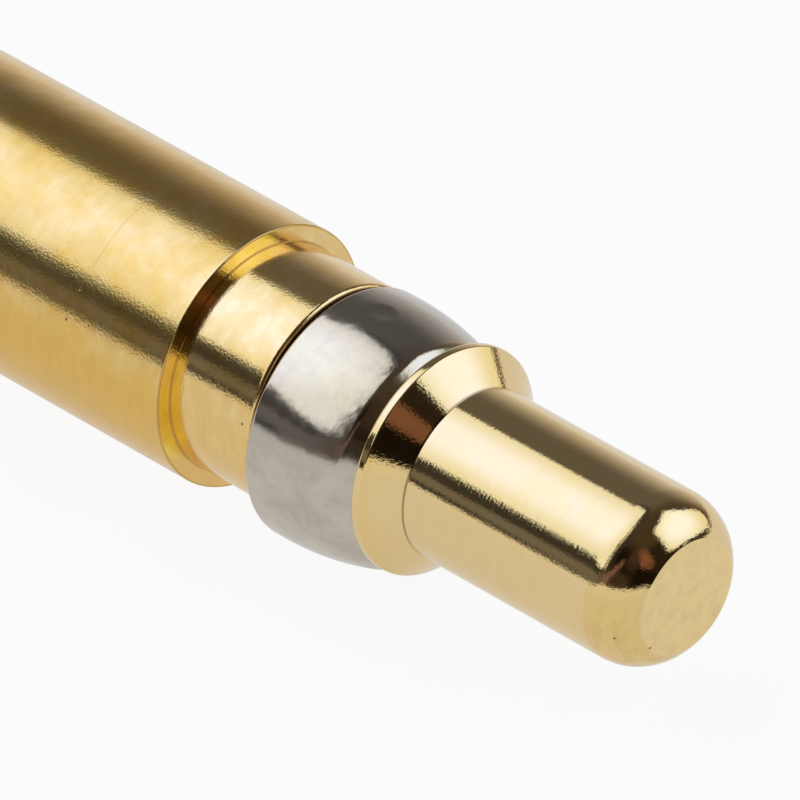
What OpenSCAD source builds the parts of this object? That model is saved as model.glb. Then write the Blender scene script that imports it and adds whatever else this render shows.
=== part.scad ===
// Male power contact for a combined signal and power connector, standing on its wire end

/* [Pin] */
// Diameter of the mating pin
pin_d = 3.6; // [3:0.05:4.2]
// Length of the pin, from the foot of the cone to the end face
pin_l = 5.83; // [4:0.01:9]
// Radius of the rounded nose, tangent to the pin
nose_r = 1.2; // [0.7:0.05:1.6]
// Diameter of the flat end face
tip_d = 2.4; // [1.8:0.05:2.8]

/* [Collar] */
// Diameter of the collar in front of the clip
collar_d = 4.78; // [4.5:0.02:5]
// Width of the straight rim on the collar
rim_w = 0.2; // [0.1:0.01:0.6]
// Slope of the collar's front cone, from the axis
cone_angle = 45; // [30:1:60]

/* [Retention clip] */
// Largest diameter of the relaxed clip, at its rear
clip_d = 5.26; // [5:0.02:5.4]
// Length of the clip along the axis
clip_l = 2.52; // [2.3:0.02:3.2]
// Thickness of the clip's sheet
clip_sheet = 0.2; // [0.15:0.01:0.25]
// Radius of the curved front, seen in section
crown_r = 6.3; // [4:0.1:9]
// Length of the curved front along the axis
crown_l = 2.2; // [1:0.05:2.2]
// Width of the slit that lets the clip close
slit_w = 1.5; // [1:0.05:2]
// Distance that the loose clip hangs off the contact's axis
clip_sag = 0.22; // [0:0.01:0.25]
// Gap between the hanging clip's lip and the groove's floor
floor_gap = 0.06; // [0.03:0.01:0.15]
// Gap between each end of the clip and its groove
clip_gap = 0.095; // [0.03:0.005:0.2]

/* [Neck and barrel] */
// Diameter of the neck behind the clip
neck_d = 4.8; // [4.6:0.02:5]
// Length of the neck, from the clip's groove to the shoulder
neck_l = 2.14; // [1:0.01:4]
// Radius in the corner between neck and shoulder
corner_r = 0.04; // [0.02:0.01:0.15]
// Diameter of the wire barrel
barrel_d = 5.5; // [5.3:0.05:6]
// Length of the wire barrel
barrel_l = 9; // [8.6:0.1:14]

/* [Wire bore] */
// Diameter of the bore that takes the stripped wire
bore_d = 4.2; // [3:0.1:4.4]
// Depth of the bore's straight wall
bore_depth = 7; // [5:0.1:7.2]
// Point angle of the drilled end
drill_angle = 118; // [90:1:140]
// Size of the bevel at the bore's mouth
mouth_bevel = 0.2; // [0.1:0.01:0.25]

/* [Edges] */
// Size of the edge breaks on shoulder, neck and collar
edge_break = 0.05; // [0.02:0.01:0.08]
// Size of the bevel round the rear end
rear_bevel = 0.1; // [0.05:0.01:0.15]

/* [Hidden] */
$fn = 96;
overlap = 1;

pin_r = pin_d / 2;
tip_r = tip_d / 2;
collar_r = collar_d / 2;
clip_r = clip_d / 2;
neck_r = neck_d / 2;
barrel_r = barrel_d / 2;
bore_r = bore_d / 2;

// The clip's section: a straight sleeve, then an arc that ends in the front lip
sheet_r = clip_sheet / 2;
crown_sweep = asin(crown_l / crown_r);
crown_axis_r = clip_r - crown_r;
lip_r = crown_axis_r + (crown_r - clip_sheet) * cos(crown_sweep);

// The groove leaves room for the clip to close and to float
groove_r = lip_r - clip_sag - floor_gap;
groove_w = clip_l + 2 * clip_gap;

// Heights above the rear end
bore_end_z = bore_depth + bore_r / tan(drill_angle / 2);
shoulder_z = barrel_l;
groove_z = shoulder_z + neck_l;
clip_z = groove_z + clip_gap;
crown_z = clip_z + clip_l - crown_l;
collar_z = groove_z + groove_w;
cone_z = collar_z + rim_w;
root_z = cone_z + (collar_r - pin_r) / tan(cone_angle);
tip_z = root_z + pin_l;

// The nose is an arc that the end face cuts off before it closes
nose_axis_r = pin_r - nose_r;
nose_l = sqrt(pow(nose_r, 2) - pow(tip_r - nose_axis_r, 2));
nose_z = tip_z - nose_l;

// Half section of the turned piece, radius across and height up
module body_section() {
    polygon([
        [0, bore_end_z],
        [bore_r, bore_depth],
        [bore_r, mouth_bevel],
        [bore_r + mouth_bevel, 0],
        [barrel_r - rear_bevel, 0],
        [barrel_r, rear_bevel],
        [barrel_r, shoulder_z - edge_break],
        [barrel_r - edge_break, shoulder_z],
        [neck_r, shoulder_z],
        [neck_r, groove_z - edge_break],
        [neck_r - edge_break, groove_z],
        [groove_r, groove_z],
        [groove_r, collar_z],
        [collar_r - edge_break, collar_z],
        [collar_r, collar_z + edge_break],
        [collar_r, cone_z],
        [pin_r, root_z],
        [pin_r, nose_z],
        [0, nose_z]
    ]);
    shoulder_corner();
    nose_round();
}

// Tool radius left in the corner between neck and shoulder
module shoulder_corner() {
    translate([neck_r, shoulder_z])
        difference() {
            square(corner_r);
            translate([corner_r, corner_r]) circle(corner_r);
        }
}

// Rounded nose in front of the straight pin
module nose_round() {
    intersection() {
        translate([0, nose_z]) square([pin_r, nose_l]);
        translate([nose_axis_r, nose_z]) circle(nose_r);
    }
}

// Half section of the clip's sheet, with a round rear edge and a square front lip
module clip_section() {
    translate([clip_r - sheet_r, clip_z + sheet_r]) circle(sheet_r);
    translate([clip_r - clip_sheet, clip_z + sheet_r]) square([clip_sheet, crown_z - clip_z - sheet_r]);
    translate([crown_axis_r, crown_z])
        intersection() {
            difference() {
                circle(crown_r);
                circle(crown_r - clip_sheet);
            }
            polygon([[0, 0], [2 * crown_r, 0], 2 * crown_r * [cos(crown_sweep), sin(crown_sweep)]]);
        }
}

module contact_body() {
    color([0.86, 0.69, 0.33])
        rotate_extrude() body_section();
}

module retention_clip() {
    color([0.72, 0.71, 0.7])
        translate([0, -clip_sag, 0])
            difference() {
                rotate_extrude() clip_section();
                translate([-slit_w / 2, -clip_r - overlap, clip_z - overlap])
                    cube([slit_w, clip_r + overlap, clip_l + 2 * overlap]);
            }
}

contact_body();
retention_clip();
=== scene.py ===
# %% [markdown]
# # A gold-plated power contact
# The real thing is about 20 mm long. A lathe turns its body from one bar of copper alloy, which is then
# plated with gold, and a split ring of spring steel sits loose in a groove behind the pin. The CAD model
# already has both solids in their true places, so this lesson models finer copies of the two pieces,
# gives them their finishes, and lights them like a product photograph.

# %% Load the frame
import math

import bpy
from mathutils import Matrix, Vector


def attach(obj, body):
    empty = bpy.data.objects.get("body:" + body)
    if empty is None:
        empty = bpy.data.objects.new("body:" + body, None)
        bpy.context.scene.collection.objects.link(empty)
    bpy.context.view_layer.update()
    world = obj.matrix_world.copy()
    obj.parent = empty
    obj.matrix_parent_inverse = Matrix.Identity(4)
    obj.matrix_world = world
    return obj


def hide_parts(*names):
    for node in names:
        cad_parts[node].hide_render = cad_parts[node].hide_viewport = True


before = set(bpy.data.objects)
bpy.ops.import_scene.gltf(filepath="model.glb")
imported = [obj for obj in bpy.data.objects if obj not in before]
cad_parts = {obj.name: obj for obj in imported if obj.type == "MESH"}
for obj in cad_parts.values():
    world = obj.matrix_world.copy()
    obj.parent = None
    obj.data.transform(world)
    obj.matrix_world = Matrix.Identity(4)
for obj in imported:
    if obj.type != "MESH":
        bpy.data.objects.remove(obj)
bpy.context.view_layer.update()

# %% [markdown]
# ## The camera
# The contact is photographed from far away through a long lens, so its edges stay almost parallel. The
# camera is placed by three directions of the picture: its right, its up, and the way back to the
# photographer. They become the columns of a rotation matrix. The part stands on its wire end in this
# frame, so a camera that sees it lying on a table is rolled over to one side.

# %% Camera
MM = 0.001
LENS, SENSOR = 900, 36
CAMERA_PLACE = Vector((-223.69, 214.60, 235.49)) * MM
picture_right = Vector((0.7058, 0.0006, 0.7084))
picture_up = Vector((0.3969, 0.8280, -0.3962))
to_photographer = Vector((-0.5868, 0.5608, 0.5841))

bpy.ops.object.camera_add()
camera = bpy.context.active_object
camera.name = "photo_camera"
camera.data.lens, camera.data.sensor_width = LENS, SENSOR
camera.data.clip_start, camera.data.clip_end = 0.01, 5
turn = Matrix((picture_right, picture_up, to_photographer)).transposed().to_4x4()
camera.matrix_world = Matrix.Translation(CAMERA_PLACE) @ turn
bpy.context.scene.camera = camera
print("camera stands", round(CAMERA_PLACE.length / MM), "mm from the wire end")

# %% [markdown]
# ## Profiles with soft corners
# A turned piece is fully described by its half profile: a list of radii and heights, in millimetres. On a
# real lathe no corner is perfectly sharp, and it is the tiny rounds that catch the light as fine bright
# lines. So each corner of a profile here also has a radius. The helper replaces the corner by a small
# arc, and adds a ring just before and after it, so that smooth shading stays flat on the long walls.

# %% Round the corners of a profile
HOLD = 0.012  # from a round to its extra ring, in millimetres


def soft_profile(corners, steps=5):
    """Turns (radius, height, corner radius) triples into a fine half profile."""
    points = []
    for i, (r, z, soft) in enumerate(corners):
        here = Vector((r, z))
        if soft == 0 or i in (0, len(corners) - 1):
            points.append(here)
            continue
        into = (here - Vector(corners[i - 1][:2])).normalized()
        away = (Vector(corners[i + 1][:2]) - here).normalized()
        bend = into.angle(away)
        start = here - into * soft * math.tan(bend / 2)
        side = (away - into * into.dot(away)).normalized()
        points.append(start - into * HOLD)
        for k in range(steps + 1):
            a = bend * k / steps
            points.append(start + side * soft * (1 - math.cos(a)) + into * soft * math.sin(a))
        points.append(points[-1] + away * HOLD)
    return points


def arc(centre_r, centre_z, radius, first, last, steps):
    """Points of an arc in a profile, with angles in degrees from the outward radius."""
    angles = [math.radians(first + (last - first) * k / steps) for k in range(steps + 1)]
    return [(centre_r + radius * math.cos(a), centre_z + radius * math.sin(a), 0) for a in angles]


# %% [markdown]
# ## Turning a profile
# Blender's lathe is the Spin tool. The profile starts as a small plane that is merged into one vertex.
# That vertex is extruded from point to point, and the finished line is spun once round the axis. The last
# copy lands on the first one, so doubles are merged before the normals are made to point outwards.

# %% Draw a line and turn it
ROUND_STEPS = 256
MERGE_DISTANCE = 2e-7


def drawn_line(name, places):
    """Draws a line of edges through the places and stays in edit mode with all of it selected."""
    bpy.ops.object.select_all(action="DESELECT")
    bpy.ops.mesh.primitive_plane_add(size=MM)
    piece = bpy.context.active_object
    piece.name = piece.data.name = name
    bpy.ops.object.mode_set(mode="EDIT")
    bpy.ops.mesh.select_mode(type="VERT")
    bpy.ops.mesh.select_all(action="SELECT")
    bpy.ops.mesh.merge(type="CENTER")
    bpy.ops.transform.translate(value=places[0])
    for before, after in zip(places, places[1:]):
        bpy.ops.mesh.extrude_vertices_move(TRANSFORM_OT_translate={"value": after - before})
    bpy.ops.mesh.select_all(action="SELECT")
    return piece


def turned_piece(name, profile, axis_y=0.0):
    """Spins a half profile, in millimetres, round an upright axis and returns the new object."""
    piece = drawn_line(name, [Vector((r, axis_y, z)) * MM for r, z in profile])
    bpy.ops.mesh.spin(steps=ROUND_STEPS, angle=2 * math.pi, center=(0, axis_y * MM, 0), axis=(0, 0, 1))
    bpy.ops.mesh.select_all(action="SELECT")
    bpy.ops.mesh.remove_doubles(threshold=MERGE_DISTANCE)
    bpy.ops.mesh.normals_make_consistent(inside=False)
    bpy.ops.object.mode_set(mode="OBJECT")
    print(name, "has", len(profile), "rings and", len(piece.data.polygons), "faces")
    return piece


# %% [markdown]
# ## The turned body
# From the tip down: a flat end face, a rounded nose, the straight mating pin, a cone that guides the
# contact into its housing, a narrow rim, the groove for the clip, the neck, a square shoulder and the
# wire barrel with its drilled bore. A fine cut at the foot of the pin is where the lathe tool turned
# back. All of it is one piece of metal, so it is one spin.

# %% Turn the body
PIN_R, TIP_Z = 1.8, 20.47
NOSE_R, NOSE_Z = 1.2, TIP_Z - 1.0392
COLLAR_R, COLLAR_Z, CONE_Z, ROOT_Z = 2.39, 13.85, 14.05, 14.64
CUT_TOP, CUT_MIDDLE, CUT_DEPTH, CUT_SOFT = 0.07, 0.04, 0.045, 0.008
GROOVE_R, NECK_R, NECK_Z = 1.766, 2.4, 11.14
BARREL_R, SHOULDER_Z = 2.75, 9.0
BORE_R, BORE_DEPTH, BORE_END_Z, MOUTH = 2.1, 7.0, 8.262, 0.2

nose = arc(PIN_R - NOSE_R, NOSE_Z, NOSE_R, 60, 0, 30)
nose[0] = (*nose[0][:2], 0.025)
body_corners = [
    (0, TIP_Z, 0), *nose,
    (PIN_R, ROOT_Z + CUT_TOP, CUT_SOFT), (PIN_R - CUT_DEPTH, ROOT_Z + CUT_MIDDLE, CUT_SOFT),
    (PIN_R, ROOT_Z, CUT_SOFT), (COLLAR_R, CONE_Z, 0.06), (COLLAR_R, COLLAR_Z, 0.08),
    (GROOVE_R, COLLAR_Z, 0.08), (GROOVE_R, NECK_Z, 0.08),
    (NECK_R, NECK_Z, 0.1), (NECK_R, SHOULDER_Z, 0.012),
    (BARREL_R, SHOULDER_Z, 0.03), (BARREL_R, 0, 0.12),
    (BORE_R + MOUTH, 0, 0.03), (BORE_R, MOUTH, 0.05), (BORE_R, BORE_DEPTH, 0.03), (0, BORE_END_Z, 0),
]
body = turned_piece("turned_body", soft_profile(body_corners))

# %% [markdown]
# ## The retention clip
# The clip is stamped from thin spring sheet and rolled into a ring: a short straight sleeve at the rear,
# then a long curve that draws in towards the front and ends in a lip that turns in more tightly. It is
# spun like the body, but round its own axis, because the loose ring hangs a little low in its groove.

# %% Turn the clip
CLIP_AXIS_Y = -0.22
CLIP_R, CLIP_SHEET, CLIP_Z, CLIP_TOP_Z = 2.63, 0.2, 11.235, 13.755
CROWN_R, CROWN_L = 6.3, 2.2
LIP_R, LIP_START, LIP_END, LIP_BACK = 0.5, 16.3, 32.0, 0.01
crown_z = CLIP_TOP_Z - CROWN_L
crown_axis = CLIP_R - CROWN_R
crown_end = math.degrees(math.asin(CROWN_L / CROWN_R))
outside = arc(crown_axis, crown_z, CROWN_R, 0, LIP_START, 24)

lip_turn, lip_throw, lip_z = math.radians(LIP_START), CROWN_R - LIP_R, CLIP_TOP_Z - LIP_BACK
lip_axis = crown_axis + lip_throw * math.cos(lip_turn)
lip = arc(lip_axis, crown_z + lip_throw * math.sin(lip_turn), LIP_R, LIP_START, LIP_END, 12)[1:]
flank = lip_z - lip[-1][1]
lip.append((lip[-1][0] - flank * math.tan(math.radians(LIP_END)), lip_z, 0.025))

inside = arc(crown_axis, crown_z, CROWN_R - CLIP_SHEET, crown_end, 0, 14)
inside[0] = (*inside[0][:2], 0.02)
clip_corners = [
    (CLIP_R - CLIP_SHEET / 2, CLIP_Z, 0), (CLIP_R, CLIP_Z, 0.09), *outside, *lip,
    *inside, (CLIP_R - CLIP_SHEET, CLIP_Z, 0.09), (CLIP_R - CLIP_SHEET / 2, CLIP_Z, 0),
]
print("clip lip ends at", lip[-1][:2], "and its inner edge at", inside[0][:2])
clip = turned_piece("snap_clip", soft_profile(clip_corners), CLIP_AXIS_Y)

# %% [markdown]
# ## The slit
# The slit lets the ring close when the contact is pushed into its housing. Two bisecting planes draw its
# edges on the lower half of the ring, the faces between them are deleted, and the cut ends are filled.
# A bisect only touches the selected faces, so the upper half of the ring stays whole.

# %% Cut the slit
SLIT_W = 1.5
LOWER_HALF = -1


def select_faces(piece, wanted):
    """Selects the faces whose centre the test accepts, and leaves the piece in edit mode."""
    bpy.ops.object.mode_set(mode="EDIT")
    bpy.ops.mesh.select_mode(type="FACE")
    bpy.ops.mesh.select_all(action="DESELECT")
    bpy.ops.object.mode_set(mode="OBJECT")
    for face in piece.data.polygons:
        face.select = wanted(face.center / MM)
    bpy.ops.object.mode_set(mode="EDIT")


for side in (-1, 1):
    select_faces(clip, lambda c: c.y < LOWER_HALF)
    bpy.ops.mesh.bisect(plane_co=(side * SLIT_W / 2 * MM, 0, 0), plane_no=(1, 0, 0))
select_faces(clip, lambda c: c.y < LOWER_HALF and abs(c.x) < SLIT_W / 2)
print("slit takes out", clip.data.total_face_sel, "faces")
bpy.ops.mesh.delete(type="FACE")
bpy.ops.mesh.select_mode(type="EDGE")
bpy.ops.mesh.select_all(action="DESELECT")
bpy.ops.mesh.select_non_manifold()
bpy.ops.mesh.fill_holes(sides=0)
bpy.ops.mesh.select_all(action="SELECT")
bpy.ops.mesh.normals_make_consistent(inside=False)
bpy.ops.object.mode_set(mode="OBJECT")
print("clip now has", len(clip.data.polygons), "faces")

# %% [markdown]
# ## Smooth shading
# Both pieces are smooth metal with a few true edges. Shading is smooth wherever neighbouring faces meet
# at less than the given angle, and breaks at the sharper ones, such as the rim of the slit.

# %% Shade smooth
SHARP_ANGLE = 32

for piece in (body, clip):
    bpy.ops.object.select_all(action="DESELECT")
    piece.select_set(True)
    bpy.context.view_layer.objects.active = piece
    bpy.ops.object.shade_smooth_by_angle(angle=math.radians(SHARP_ANGLE))
    print(piece.name, "is smooth up to", SHARP_ANGLE, "degrees")

# %% [markdown]
# ## Writing shader maths
# A finish is a small network of nodes. Wrapping a node's output in a class lets the network be written as
# ordinary sums: an operator adds a Math node, and one method makes every other kind of node. The other
# methods are short names for the nodes that the finishes need most.

# %% Socket class
class Sock:
    """An output socket that can be used in expressions."""

    def __init__(self, tree, socket=None):
        self.tree, self.socket = tree, socket

    def node(self, kind, settings=None, inputs=None, output=0):
        made = self.tree.nodes.new(kind)
        for key, value in (settings or {}).items():
            setattr(made, key, value)
        for key, value in (inputs or {}).items():
            if isinstance(value, Sock):
                self.tree.links.new(value.socket, made.inputs[key])
            else:
                made.inputs[key].default_value = value
        return Sock(self.tree, made.outputs[output])

    def math(self, operation, a, b=0.0):
        return self.node("ShaderNodeMath", {"operation": operation}, {0: a, 1: b})

    def __add__(self, other): return self.math("ADD", self, other)
    def __radd__(self, other): return self.math("ADD", other, self)
    def __sub__(self, other): return self.math("SUBTRACT", self, other)
    def __rsub__(self, other): return self.math("SUBTRACT", other, self)
    def __mul__(self, other): return self.math("MULTIPLY", self, other)
    def __rmul__(self, other): return self.math("MULTIPLY", other, self)
    def __pow__(self, other): return self.math("POWER", self, other)
    def __abs__(self): return self.math("ABSOLUTE", self)

    def step(self, low, high):
        """0 below low, 1 above high, and a soft rise between."""
        return self.node("ShaderNodeMapRange", {"interpolation_type": "SMOOTHSTEP"},
                         {"Value": self, "From Min": low, "From Max": high})

    def tint(self, first, second):
        """A colour between two, by this value."""
        return self.node("ShaderNodeMix", {"data_type": "RGBA"}, {0: self, 6: first, 7: second}, 2)

    def scaled(self, scale):
        """This vector with each axis stretched."""
        return self.node("ShaderNodeMapping", {}, {"Vector": self, "Scale": scale})

    def split(self):
        """The three parts of this vector."""
        parts = self.node("ShaderNodeSeparateXYZ", {}, {"Vector": self}).socket.node.outputs
        return [Sock(self.tree, part) for part in parts]

    def distance(self, spot):
        """How far this place is from a fixed spot."""
        return self.node("ShaderNodeVectorMath", {"operation": "DISTANCE"}, {0: self, 1: spot}, "Value")

    def noise(self, scale, detail=2.0, rough=0.5):
        """Noise on this vector, with one scale for each axis."""
        inputs = {"Vector": self.scaled(scale), "Scale": 1.0, "Detail": detail, "Roughness": rough}
        return self.node("ShaderNodeTexNoise", {}, inputs)


def new_finish(name):
    """A new material, its shader node, and a vector of places in millimetres."""
    finish = bpy.data.materials.new(name)
    finish.use_nodes = True
    shader = finish.node_tree.nodes["Principled BSDF"]
    place = Sock(finish.node_tree).node("ShaderNodeTexCoord", output="Object")
    return finish, shader, place.scaled((1000, 1000, 1000))


def feed(node, name, value):
    """Links a value to one input of a node."""
    value.tree.links.new(value.socket, node.inputs[name])


# %% [markdown]
# ## Gold plating: the zones
# Gold is a metal, so its colour is the colour of its reflections. On this contact the plating changes
# from place to place: the pin is finished finest, and the barrel is duller and deeper in colour. Dark
# brown painted shade fills the clip's groove. Each zone is a mask, a product of soft steps along the
# height, the radius or the sides. Masks like these need no unwrapping and stay sharp at any size.

# %% Zones of the body
gold, gold_shader, place = new_finish("gold_plating")
gold_shader.inputs["Metallic"].default_value = 1.0
x, y, z = place.split()
radius = (x * x + y * y) ** 0.5

on_barrel = 1 - z.step(SHOULDER_Z - 0.1, SHOULDER_Z - 0.02)
below_neck = 1 - z.step(SHOULDER_Z + 0.02, SHOULDER_Z + 0.04)
# painted light: a brighter yellow on one side of the shoulder face, kept off the +X side and the bottom
shoulder_lit_side = z.step(SHOULDER_Z - 0.03, SHOULDER_Z - 0.01) * below_neck
shoulder_lit_side = shoulder_lit_side * radius.step(NECK_R + 0.02, NECK_R + 0.05)
shoulder_lit_side = shoulder_lit_side * (1 - radius.step(BARREL_R - 0.07, BARREL_R - 0.03))
shoulder_lit_side = shoulder_lit_side * (1 - x.step(0.35, 0.75)) * y.step(-1.6, -0.9)
# painted shade: at_edge darkens the outer rim and the inner crease of the shoulder face
both_edges = radius.step(BARREL_R - 0.05, BARREL_R - 0.03) + 1 - radius.step(NECK_R + 0.02, NECK_R + 0.04)
at_edge = z.step(SHOULDER_Z - 0.05, SHOULDER_Z - 0.025) * below_neck * both_edges
# painted shade: in_groove darkens the groove under the clip
in_groove = z.step(NECK_Z - 0.11, NECK_Z - 0.02) * (1 - z.step(COLLAR_Z + 0.02, COLLAR_Z + 0.09))
in_groove = in_groove * (1 - radius.step(NECK_R - 0.07, NECK_R - 0.025))
on_pin = z.step(11.5, 14.2)
# painted shade: at_root darkens the fine cut at the pin's foot
at_root = 1 - abs(z - (ROOT_Z + 0.035)).step(0.015, 0.04)
on_shank = z.step(ROOT_Z - 0.04, ROOT_Z + 0.06) * (1 - 0.8 * z.step(19.3, 19.6))
on_cone = z.step(CONE_Z - 0.05, CONE_Z + 0.05) * (1 - on_shank)
# painted shade: under_nose is the lower side of the nose
under_nose = z.step(19.4, 19.55) * (1 - z.step(TIP_Z - 0.05, TIP_Z - 0.01)) * (1 - y.step(0.3, 0.9))
at_end = z.step(TIP_Z - 0.015, TIP_Z - 0.005)
# upper_side keeps the pale patches, partly a painted sheen, to the side facing the soft boxes
low_side, upper_side = 1 - y.step(1.1, 1.5), y.step(0, 1)
print("gold zones take", len(gold.node_tree.nodes), "nodes")

# %% [markdown]
# ## Gold plating: marks
# No plating is perfectly even. Noise that is stretched round the axis gives the turning marks, finer
# noise the mottled sheen, and coarse noise the clouds and pale patches. The pits and the hairline scratch
# on the barrel come from handling. They are single events, so each has a fixed place instead of noise.

# %% Noise, pits and a scratch
clouds = place.noise((0.9, 0.9, 0.9), 3, 0.6)
streaks = place.noise((1.6, 1.6, 4), 3, 0.6)
patches = place.noise((3.2, 3.2, 2.2), 2, 0.5)
grain = place.noise((18, 18, 18), 2, 0.6)
marks = place.noise((1.5, 1.5, 24), 2, 0.5)

PITS = (
    (-2.324, 1.471, 6.49), (-2.61, 0.867, 6.39), (-2.351, 0.483, 10.92),
    (-1.562, -0.383, 20.079), (-0.991, -0.701, 20.462),
)
SCRATCH_Z = 6.575
pits = 0.0
for spot in PITS:
    pits = pits + (1 - place.distance(spot).step(0.02, 0.035))
scratch = x.step(-2.15, -2.0) * (1 - x.step(-0.75, -0.6)) * y.step(0, 0.5)
scratch = scratch * (1 - abs(z + 0.05 * streaks - SCRATCH_Z).step(0.004, 0.012))
print("gold has", len(PITS), "pits and a scratch near", SCRATCH_Z, "mm")

# %% [markdown]
# ## Gold plating: tones
# Thin gold shows what is below it. Random pale patches are kept to the upper side, so they are partly a
# painted sheen; one side of the shoulder face has a brighter yellow as painted light; the lower sides of
# the nose and the cone, the shoulder's edges, the fine cut at the pin's foot and the groove under the clip
# are darker as painted shade. Each tone is laid over the last one by a mask, like thin coats of paint, so
# that a later coat can be weakened without touching the others.

# %% Tones of the gold
NECK_GOLD, PIN_GOLD = (0.86, 0.59, 0.225, 1), (0.83, 0.625, 0.305, 1)
BARREL_GOLD, SHOULDER_PAINTED_LIGHT = (0.79, 0.5, 0.128, 1), (0.95, 0.75, 0.14, 1)
END_GOLD, NOSE_UNDERSIDE_SHADE, NOSE_STREAKED_SHADE = (0.9, 0.68, 0.32, 1), (0.8, 0.56, 0.19, 1), (0.62, 0.41, 0.14, 1)
CLOUD_GOLD, PALE_GOLD, PIN_CLOUD = (0.87, 0.63, 0.27, 1), (0.9, 0.72, 0.38, 1), (0.83, 0.61, 0.19, 1)
CONE_LOW_SHADE, STREAK_GOLD, EDGE_SHADE_GOLD = (0.83, 0.58, 0.2, 1), (0.67, 0.43, 0.13, 1), (0.58, 0.37, 0.09, 1)
DARK_MARK_AND_SHADE, GROOVE_SHADE = (0.1, 0.06, 0.03, 1), (0.25, 0.11, 0.032, 1)

colour = on_pin.tint(NECK_GOLD, PIN_GOLD)
colour = on_barrel.tint(colour, BARREL_GOLD)
# painted light on one side of the shoulder face
colour = shoulder_lit_side.tint(colour, SHOULDER_PAINTED_LIGHT)
colour = (at_end * patches.step(0.3, 0.6)).tint(colour, END_GOLD)
# painted shade, with streaks, on the lower side of the nose
colour = (0.6 * under_nose).tint(colour, NOSE_UNDERSIDE_SHADE)
colour = (0.45 * under_nose * streaks.step(0.44, 0.72)).tint(colour, NOSE_STREAKED_SHADE)
# random pale tone, kept to the upper side, so partly a painted sheen in the highlights
colour = (0.6 * clouds.step(0.4, 0.64) * (1 - on_pin) * upper_side).tint(colour, CLOUD_GOLD)
pale = (0.5 - 0.3 * on_barrel) * patches.step(0.36, 0.68) * (1 - on_pin) * upper_side
colour = pale.tint(colour, PALE_GOLD)
colour = (0.35 * clouds.step(0.5, 0.68) * on_pin * upper_side).tint(colour, PIN_CLOUD)
# painted shade on the lower side of the cone, near the rim
colour = (0.45 * on_cone * (1 - z.step(14.05, 14.4)) * low_side).tint(colour, CONE_LOW_SHADE)
colour = (0.25 * streaks.step(0.35, 0.65) * (1 - 0.7 * on_pin)).tint(colour, STREAK_GOLD)
# painted shade on both edges of the shoulder face
colour = (0.75 * at_edge).tint(colour, EDGE_SHADE_GOLD)
# the pits and the scratch are dark marks; the fine cut at the pin's foot is painted shade
colour = (0.8 * pits + 0.22 * scratch + 0.6 * at_root).tint(colour, DARK_MARK_AND_SHADE)
# painted shade in the groove under the clip
colour = (0.9 * in_groove).tint(colour, GROOVE_SHADE)
feed(gold_shader, "Base Color", colour)
print("gold tones bring it to", len(gold.node_tree.nodes), "nodes")

# %% [markdown]
# ## Gold plating: polish and relief
# How blurred a reflection is comes from the roughness: the pin is the smoothest, the barrel and the groove
# under the clip the dullest. The relief is only a few thousandths of a millimetre, far too fine for real
# geometry, so a Bump node tilts the reflections instead. It makes the edges of the dark bands ragged.

# %% Polish and relief of the gold
GOLD_RELIEF = 1.2e-5

polish = 0.12 - 0.05 * on_pin + 0.05 * on_barrel + 0.4 * in_groove
feed(gold_shader, "Roughness", polish + 0.06 * (streaks - 0.5) * (1 - on_pin))
mottle = 0.22 + 0.04 * on_barrel - 0.14 * on_pin + 0.09 * on_shank * low_side + 0.12 * on_cone
ridges = 0.1 + on_shank * (0.04 + 0.1 * low_side)
height = mottle * grain + ridges * marks - 0.1 * scratch - 0.3 * pits
relief = {"Strength": 1.0, "Distance": GOLD_RELIEF, "Height": height}
feed(gold_shader, "Normal", height.node("ShaderNodeBump", {}, relief))
body.data.materials.clear()
body.data.materials.append(gold)
print(gold.name, "is on", body.name)

# %% [markdown]
# ## Spring steel
# The clip is bright rolled steel, close to a mirror. The sheet is a slightly warm grey, left darker on its
# upper side and lighter with soft smudges on its lower side, as painted shade and light. On its upper side
# a faint straw-coloured tint, a painted highlight colour, sits where the soft box's highlight falls and
# fades out from its middle, and the lip has a similar painted tone. The spot is longer along the axis than
# round it, so the place is squeezed along the axis before the distance from the middle is taken.

# %% Tones of the steel
DARK_STEEL, STEEL, SMUDGE = (0.51, 0.46, 0.385, 1), (0.585, 0.525, 0.44, 1), (0.63, 0.57, 0.485, 1)
HIGHLIGHT_STRAW, HIGHLIGHT_STRAW_RIM = (0.725, 0.608, 0.362, 1), (0.72, 0.61, 0.478, 1)
SMUDGED_HIGHLIGHT_STRAW, SMUDGED_HIGHLIGHT_RIM = (0.64, 0.535, 0.32, 1), (0.65, 0.552, 0.434, 1)
LIP_HIGHLIGHT_STRAW = (0.68, 0.585, 0.38, 1)
SQUEEZE = 0.45
HIGHLIGHT_MIDDLE = (-1.4, 2.0, 5.37)  # with its height squeezed as well

steel, steel_shader, place = new_finish("spring_steel")
steel_shader.inputs["Metallic"].default_value = 1.0
x, y, z = place.split()
sheet = place.noise((1.1, 1.1, 1.1), 3, 0.6)
smudge = place.noise((3.5, 3.5, 3.5), 3, 0.6)
grain = place.noise((10, 10, 10), 2, 0.6)
# painted shade and light: the upper side stays the darker steel, the lower side gets lighter noise and
# smudges
lower = 1 - y.step(0.2, 0.8)
# painted highlight colour: a straw tint where the soft box's highlight falls on the upper side
tinted_highlight = y.step(0.85, 1.25) * (1 - x.step(-0.75, -0.35))
highlight_fade = place.scaled((1, 1, SQUEEZE)).distance(HIGHLIGHT_MIDDLE).step(0.24, 0.88)
# painted highlight colour on the upper side of the lip
on_lip = z.step(13.28, 13.4) * y.step(0.8, 1.4)

colour = (sheet.step(0.4, 0.62) * lower).tint(DARK_STEEL, STEEL)
colour = (0.4 * smudge.step(0.42, 0.62) * lower).tint(colour, SMUDGE)
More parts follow.
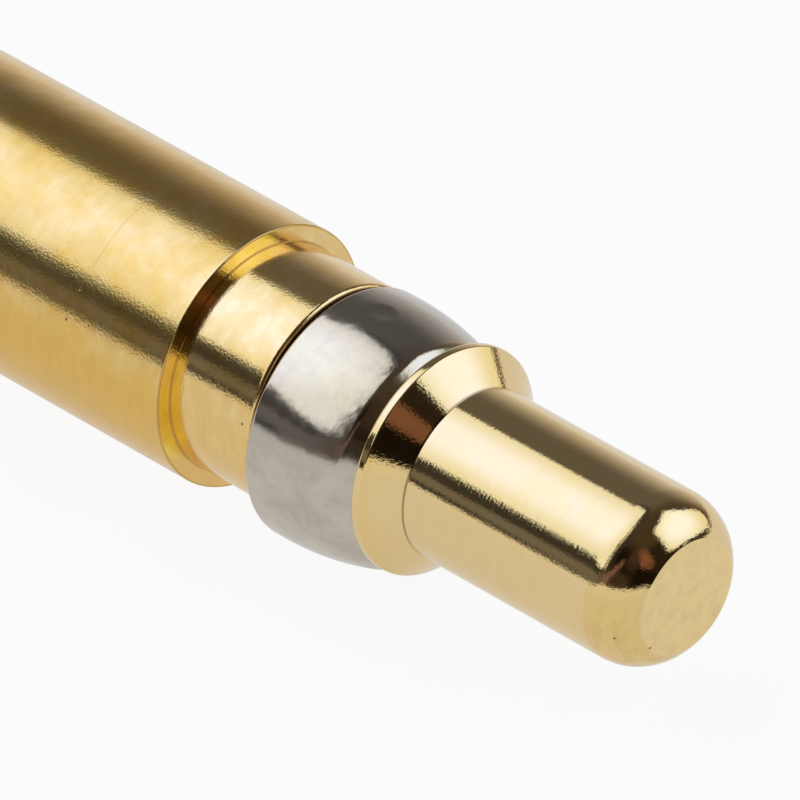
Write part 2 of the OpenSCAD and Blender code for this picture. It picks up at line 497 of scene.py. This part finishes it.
# the painted highlight colour, fading out from its middle and smudged in places
colour = tinted_highlight.tint(colour, highlight_fade.tint(HIGHLIGHT_STRAW, HIGHLIGHT_STRAW_RIM))
colour = (0.5 * tinted_highlight * smudge.step(0.4, 0.66)).tint(colour, highlight_fade.tint(SMUDGED_HIGHLIGHT_STRAW, SMUDGED_HIGHLIGHT_RIM))
colour = on_lip.tint(colour, LIP_HIGHLIGHT_STRAW)
feed(steel_shader, "Base Color", colour)
print("steel tones take", len(steel.node_tree.nodes), "nodes")

# %% [markdown]
# ## Spring steel: polish and relief
# Rolled sheet is never quite flat, which bends the outlines of the reflections a little. One shallow dent
# on the upper side is deeper than the rest. Small changes of polish keep the large reflections from
# looking flat. All of this is too fine for geometry, so it is a bump again.

# %% Polish and relief of the steel
DENT = (0.23, 2.37, 12.12)
STEEL_RELIEF = 1e-5

feed(steel_shader, "Roughness", 0.13 + 0.14 * (smudge - 0.4))
height = sheet + 0.2 * smudge + 0.09 * grain + 2.6 * place.distance(DENT).step(0.04, 0.36)
relief = {"Strength": 1.0, "Distance": STEEL_RELIEF, "Height": height}
feed(steel_shader, "Normal", height.node("ShaderNodeBump", {}, relief))
clip.data.materials.clear()
clip.data.materials.append(steel)
print(steel.name, "is on", clip.name)

# %% [markdown]
# ## The table
# Polished metal shows its surroundings, so the stage is part of the finish. The contact lies on a pale
# table, which fills the lower half of every reflection. The table is just below the lowest point of the
# clip, so that the clip never cuts into it when it turns. Its colour for the camera and in reflections is
# mixed with plain white, so that the background stays white and a soft shadow under the part is kept.
# It is seen from above only, so that the part can be viewed from below as well.

# %% Table
TABLE_SIZE, TABLE_EDGE_X, TABLE_MIDDLE_Z = 0.22, -0.04, 0.02
TABLE_Y = CLIP_AXIS_Y - CLIP_R - 0.02
TABLE_LIT, WHITE_FOR_CAMERA, WHITE_IN_METAL = 0.9, 0.93, 0.72


def stage_card(finish_name, card):
    """Gives a card of the stage an empty node tree, and returns it with its output node."""
    finish = bpy.data.materials.new(finish_name)
    finish.use_nodes = True
    finish.node_tree.nodes.clear()
    card.data.materials.append(finish)
    return Sock(finish.node_tree), finish.node_tree.nodes.new("ShaderNodeOutputMaterial")


bpy.ops.object.select_all(action="DESELECT")
table_place = (TABLE_EDGE_X + TABLE_SIZE / 2, TABLE_Y * MM, TABLE_MIDDLE_Z)
bpy.ops.mesh.primitive_plane_add(size=TABLE_SIZE, location=table_place, rotation=(-math.pi / 2, 0, 0))
table = bpy.context.active_object
table.name = "table"
bpy.ops.object.transform_apply(location=True, rotation=True, scale=True)
start, out = stage_card("table_white", table)
camera_ray, glossy_ray, clear_ray = (start.node("ShaderNodeLightPath", output=k)
                                     for k in ("Is Camera Ray", "Is Glossy Ray", "Is Transmission Ray"))
matt = start.node("ShaderNodeBsdfDiffuse", {}, {"Color": (0.93, 0.92, 0.86, 1)})
white = start.node("ShaderNodeEmission", {}, {"Strength": TABLE_LIT + (1 - TABLE_LIT) * camera_ray})
share = WHITE_FOR_CAMERA * camera_ray + WHITE_IN_METAL * (glossy_ray + clear_ray)
front = start.node("ShaderNodeMixShader", {}, {0: share, 1: matt, 2: white})
clear = start.node("ShaderNodeBsdfTransparent")
behind = start.node("ShaderNodeNewGeometry", output="Backfacing")
feed(out, "Surface", start.node("ShaderNodeMixShader", {}, {0: behind, 1: front, 2: clear}))
print("table lies at y =", round(TABLE_Y, 3), "mm")

# %% [markdown]
# ## Cards that light the metal
# Every light and every dark area of the studio is a flat card that glows a little or a lot. A card is
# given by the direction of its middle and by its outline, both as seen from the part, so that an outline
# of 1 reaches 45 degrees to the side. The outline is drawn like a profile and then filled with a face.
# A card can have two colours, one at its heart and one towards its rim.

# %% Card helper
STUDIO_CENTRE = Vector((0, 0, 0.0125))


def glow_card(name, side, rise, outline, middle, rim=None, fade=(0.1, 0.65), reach=0.2, heart=(0, 0)):
    """A card seen at an angle from +Y towards +X and a rise towards the tip, in one or two colours."""
    side, rise = math.radians(side), math.radians(rise)
    look = Vector((math.sin(side) * math.cos(rise), math.cos(side) * math.cos(rise), math.sin(rise)))
    across = Vector((math.cos(side), -math.sin(side), 0))
    up = across.cross(look)
    centre = STUDIO_CENTRE + look * reach
    card = drawn_line(name, [centre + (across * u + up * v) * reach for u, v in outline])
    bpy.ops.mesh.edge_face_add()
    bpy.ops.object.mode_set(mode="OBJECT")
    card.visible_camera = False
    start, out = stage_card(name + "_glow", card)
    colour = (*middle, 1)
    if rim:
        brightest = centre + (across * heart[0] + up * heart[1]) * reach
        away = start.node("ShaderNodeTexCoord", output="Object").distance(brightest)
        colour = away.step(fade[0] * reach, fade[1] * reach).tint(colour, (*rim, 1))
    feed(out, "Surface", start.node("ShaderNodeEmission", {}, {"Color": colour}))
    print(name, "has", len(outline), "corners")


# %% [markdown]
# ## Two soft boxes in a dark room
# Two large soft boxes stand above the table, one towards the wire end and one towards the tip. Each is
# brightest and coolest at its heart, grows warmer outwards, and has a black rim, a larger card just behind
# it. Between and around them the room is dark, which draws the dark bands along the metal.

# %% Soft boxes
REAR_BOX = (
    (0.5, -0.9), (0.615, -0.2), (0.75, -0.06), (0.8, 0.26), (0.68, 0.42), (0.08, 0.62), (-0.93, 0.43),
    (-1.02, 0.31), (-0.79, 0.03), (-0.525, -0.15), (-0.43, -0.9),
)
REAR_RIM = (
    (0.4, -0.9), (0.55, -0.25), (0.9, 0), (0.98, 0.3), (0.85, 0.6), (0.1, 0.86), (-1.28, 0.58),
    (-1.46, 0.38), (-1.16, 0.02), (-0.88, -0.24), (-0.74, -0.9),
)
FRONT_BOX = (
    (-0.2, -0.48), (0.2, -0.4), (0.74, -0.48), (0.9, -0.36), (0.88, -0.1), (-0.02, 0.66),
    (-0.18, 0.66), (-0.62, 0.1), (-0.62, 0),
)
FRONT_RIM = [(1.12 * u, 1.12 * v) for u, v in FRONT_BOX]
BEHIND_BOX = 0.205

glow_card("rear_soft_box", -21, -33, REAR_BOX, (1.26, 1.46, 2.32), (1.04, 1.13, 1.22), (0.1, 0.62),
          heart=(0.05, 0))
glow_card("rear_box_rim", -21, -33, REAR_RIM, (0.05, 0.048, 0.047), reach=BEHIND_BOX)
glow_card("front_soft_box", 42.5, 29, FRONT_BOX, (1.25, 1.48, 2.3), (1.02, 1.06, 0.95), (0.15, 0.75))
glow_card("front_box_rim", 42.5, 29, FRONT_RIM, (0.03, 0.022, 0.014), reach=BEHIND_BOX)

# %% [markdown]
# ## Small cards
# Two brown cards stand for warm things beside the camera, and show as small blotches in the nose, the cone
# and the clip. A dim card behind them lifts the black between the soft boxes a little. Small cards like
# these make the metal look as if it stood in a real room.

# %% Small cards
BROWN_CARD = (
    (-0.06, -0.36), (0.05, -0.36), (0.13, -0.2), (0.1, 0.3), (-0.02, 0.39), (-0.19, 0.04), (-0.06, -0.14),
)
BROWN_STREAK = (
    (-0.3, -0.3), (-0.12, -0.26), (-0.02, -0.06), (0.34, 0.2), (0.3, 0.26), (-0.12, 0), (-0.36, -0.1),
)
DIM_CARD = ((-0.5, -0.2), (0.15, -0.2), (0.15, 0.2), (-0.5, 0.2))

glow_card("brown_card", -26, 50, BROWN_CARD, (0.22, 0.11, 0.08), (0.12, 0.06, 0.04), (0.05, 0.4))
glow_card("brown_streak", -64, 10, BROWN_STREAK, (0.22, 0.14, 0.125))
glow_card("dim_card", -30, 36, DIM_CARD, (0.06, 0.038, 0.026), (0.014, 0.01, 0.007), (0.1, 0.5), 0.21)

# %% [markdown]
# ## Boards on the edge of the table
# A low white board closes the table on the camera's side and carries its pale colour up into the metal. A
# black strip stands on a ledge of it towards the wire end, and draws the lower dark band along the barrel,
# the neck and the pin. Both are drawn in the same upright plane, so they share the line of the ledge.

# %% Boards
LEDGE = ((-0.3, -120), (-0.3, -19), (0.2, -16), (0.3, -9))
WHITE_BOARD = ((TABLE_Y, -120), *LEDGE, (1.6, 2), (3.1, 9.6), (6.3, 15), (6.3, 170), (TABLE_Y, 170))
BLACK_STRIP = (*LEDGE, (4.6, -9), (4.5, -16), (4, -19), (4, -120))
WHITE_LIT, BLACK_LIT = 0.83, 0.03


def upright_board(name, corners, strength):
    """A board on the near edge of the table, drawn in Y and Z, that only shows in reflections."""
    board = drawn_line(name, [Vector((TABLE_EDGE_X, y * MM, z * MM)) for y, z in corners])
    bpy.ops.mesh.edge_face_add()
    bpy.ops.object.mode_set(mode="OBJECT")
    board.visible_camera = False
    start, out = stage_card(name + "_glow", board)
    feed(out, "Surface", start.node("ShaderNodeEmission", {}, {"Strength": strength}))
    print(name, "has", len(corners), "corners")


upright_board("white_board", WHITE_BOARD, WHITE_LIT)
upright_board("black_strip", BLACK_STRIP, BLACK_LIT)

# %% [markdown]
# ## The dark room
# The walls are half a sphere, cut from a whole one at a level below the table. They are nearly black and
# warm above, a little lighter beside the soft boxes, and light on the far side, where the upper edges of
# the contact pick them up. The walls towards the wire end glow softly. One shader does it all: it takes
# the angle round the part and the place along it, and adds up soft steps.

# %% Dark room
ROOM_R, ROOM_FLOOR_Y = 0.32, -0.03

bpy.ops.object.select_all(action="DESELECT")
bpy.ops.mesh.primitive_uv_sphere_add(segments=48, ring_count=24, radius=ROOM_R, location=STUDIO_CENTRE)
room = bpy.context.active_object
room.name = "dark_room"
bpy.ops.object.transform_apply(location=True, rotation=True, scale=True)
bpy.ops.object.mode_set(mode="EDIT")
bpy.ops.mesh.select_all(action="SELECT")
bpy.ops.mesh.bisect(plane_co=(0, ROOM_FLOOR_Y, 0), plane_no=(0, 1, 0), clear_inner=True)
bpy.ops.object.mode_set(mode="OBJECT")
room.visible_camera = False
start, out = stage_card("room_walls", room)
wall_x, wall_y, wall_z = start.node("ShaderNodeTexCoord", output="Object").split()
side = start.math("ARCTAN2", wall_x, wall_y) * (180 / math.pi)
low = 1 - wall_z.step(-0.1, 0.05)
low_glow = 0.138 + 0.68 * side.step(48, 106) + 0.05 * (1 - side.step(-80, -60))
beside = 0.045 * side.step(-40, -15) + 0.04 * (1 - side.step(-66, -50))
high_glow = 0.01 + 0.014 * side.step(-40, -15) + beside * (1 - wall_z.step(0.2, 0.26))
high_glow = high_glow + 0.8 * side.step(86, 90)
glow = low * low_glow + (1 - low) * high_glow
warm = (1 - low) * (1 - side.step(80, 90))
colour = warm.tint((1, 0.95, 0.95, 1), (1, 0.75, 0.55, 1))
feed(out, "Surface", start.node("ShaderNodeEmission", {}, {"Color": colour, "Strength": glow}))
print("room has", len(room.data.polygons), "wall faces")

# %% [markdown]
# ## The surround
# A product photograph is often cut out on plain white. A white world does that behind the table, and the
# Standard view keeps the white and the gold as they are, without the softening of a film look.

# %% World
world = bpy.data.worlds.new("white_surround")
bpy.context.scene.world = world
world.use_nodes = True
world.node_tree.nodes["Background"].inputs["Color"].default_value = (1, 1, 1, 1)
world.node_tree.nodes["Background"].inputs["Strength"].default_value = 1.0
bpy.context.scene.view_settings.view_transform = "Standard"
print("world is", world.name)

# %% [markdown]
# ## Joining the frame
# Each piece rides on its CAD body, so the clip turns with its joint, and the CAD node it stands in for is
# hidden.

# %% Ride and replace
for piece, carrier, node, slot in ((body, "contact", "contact_body", "gold_plating"),
                                   (clip, "clip", "retention_clip", "spring_steel")):
    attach(piece, carrier)
    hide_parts(node)
    print(piece.name, "rides on", carrier)
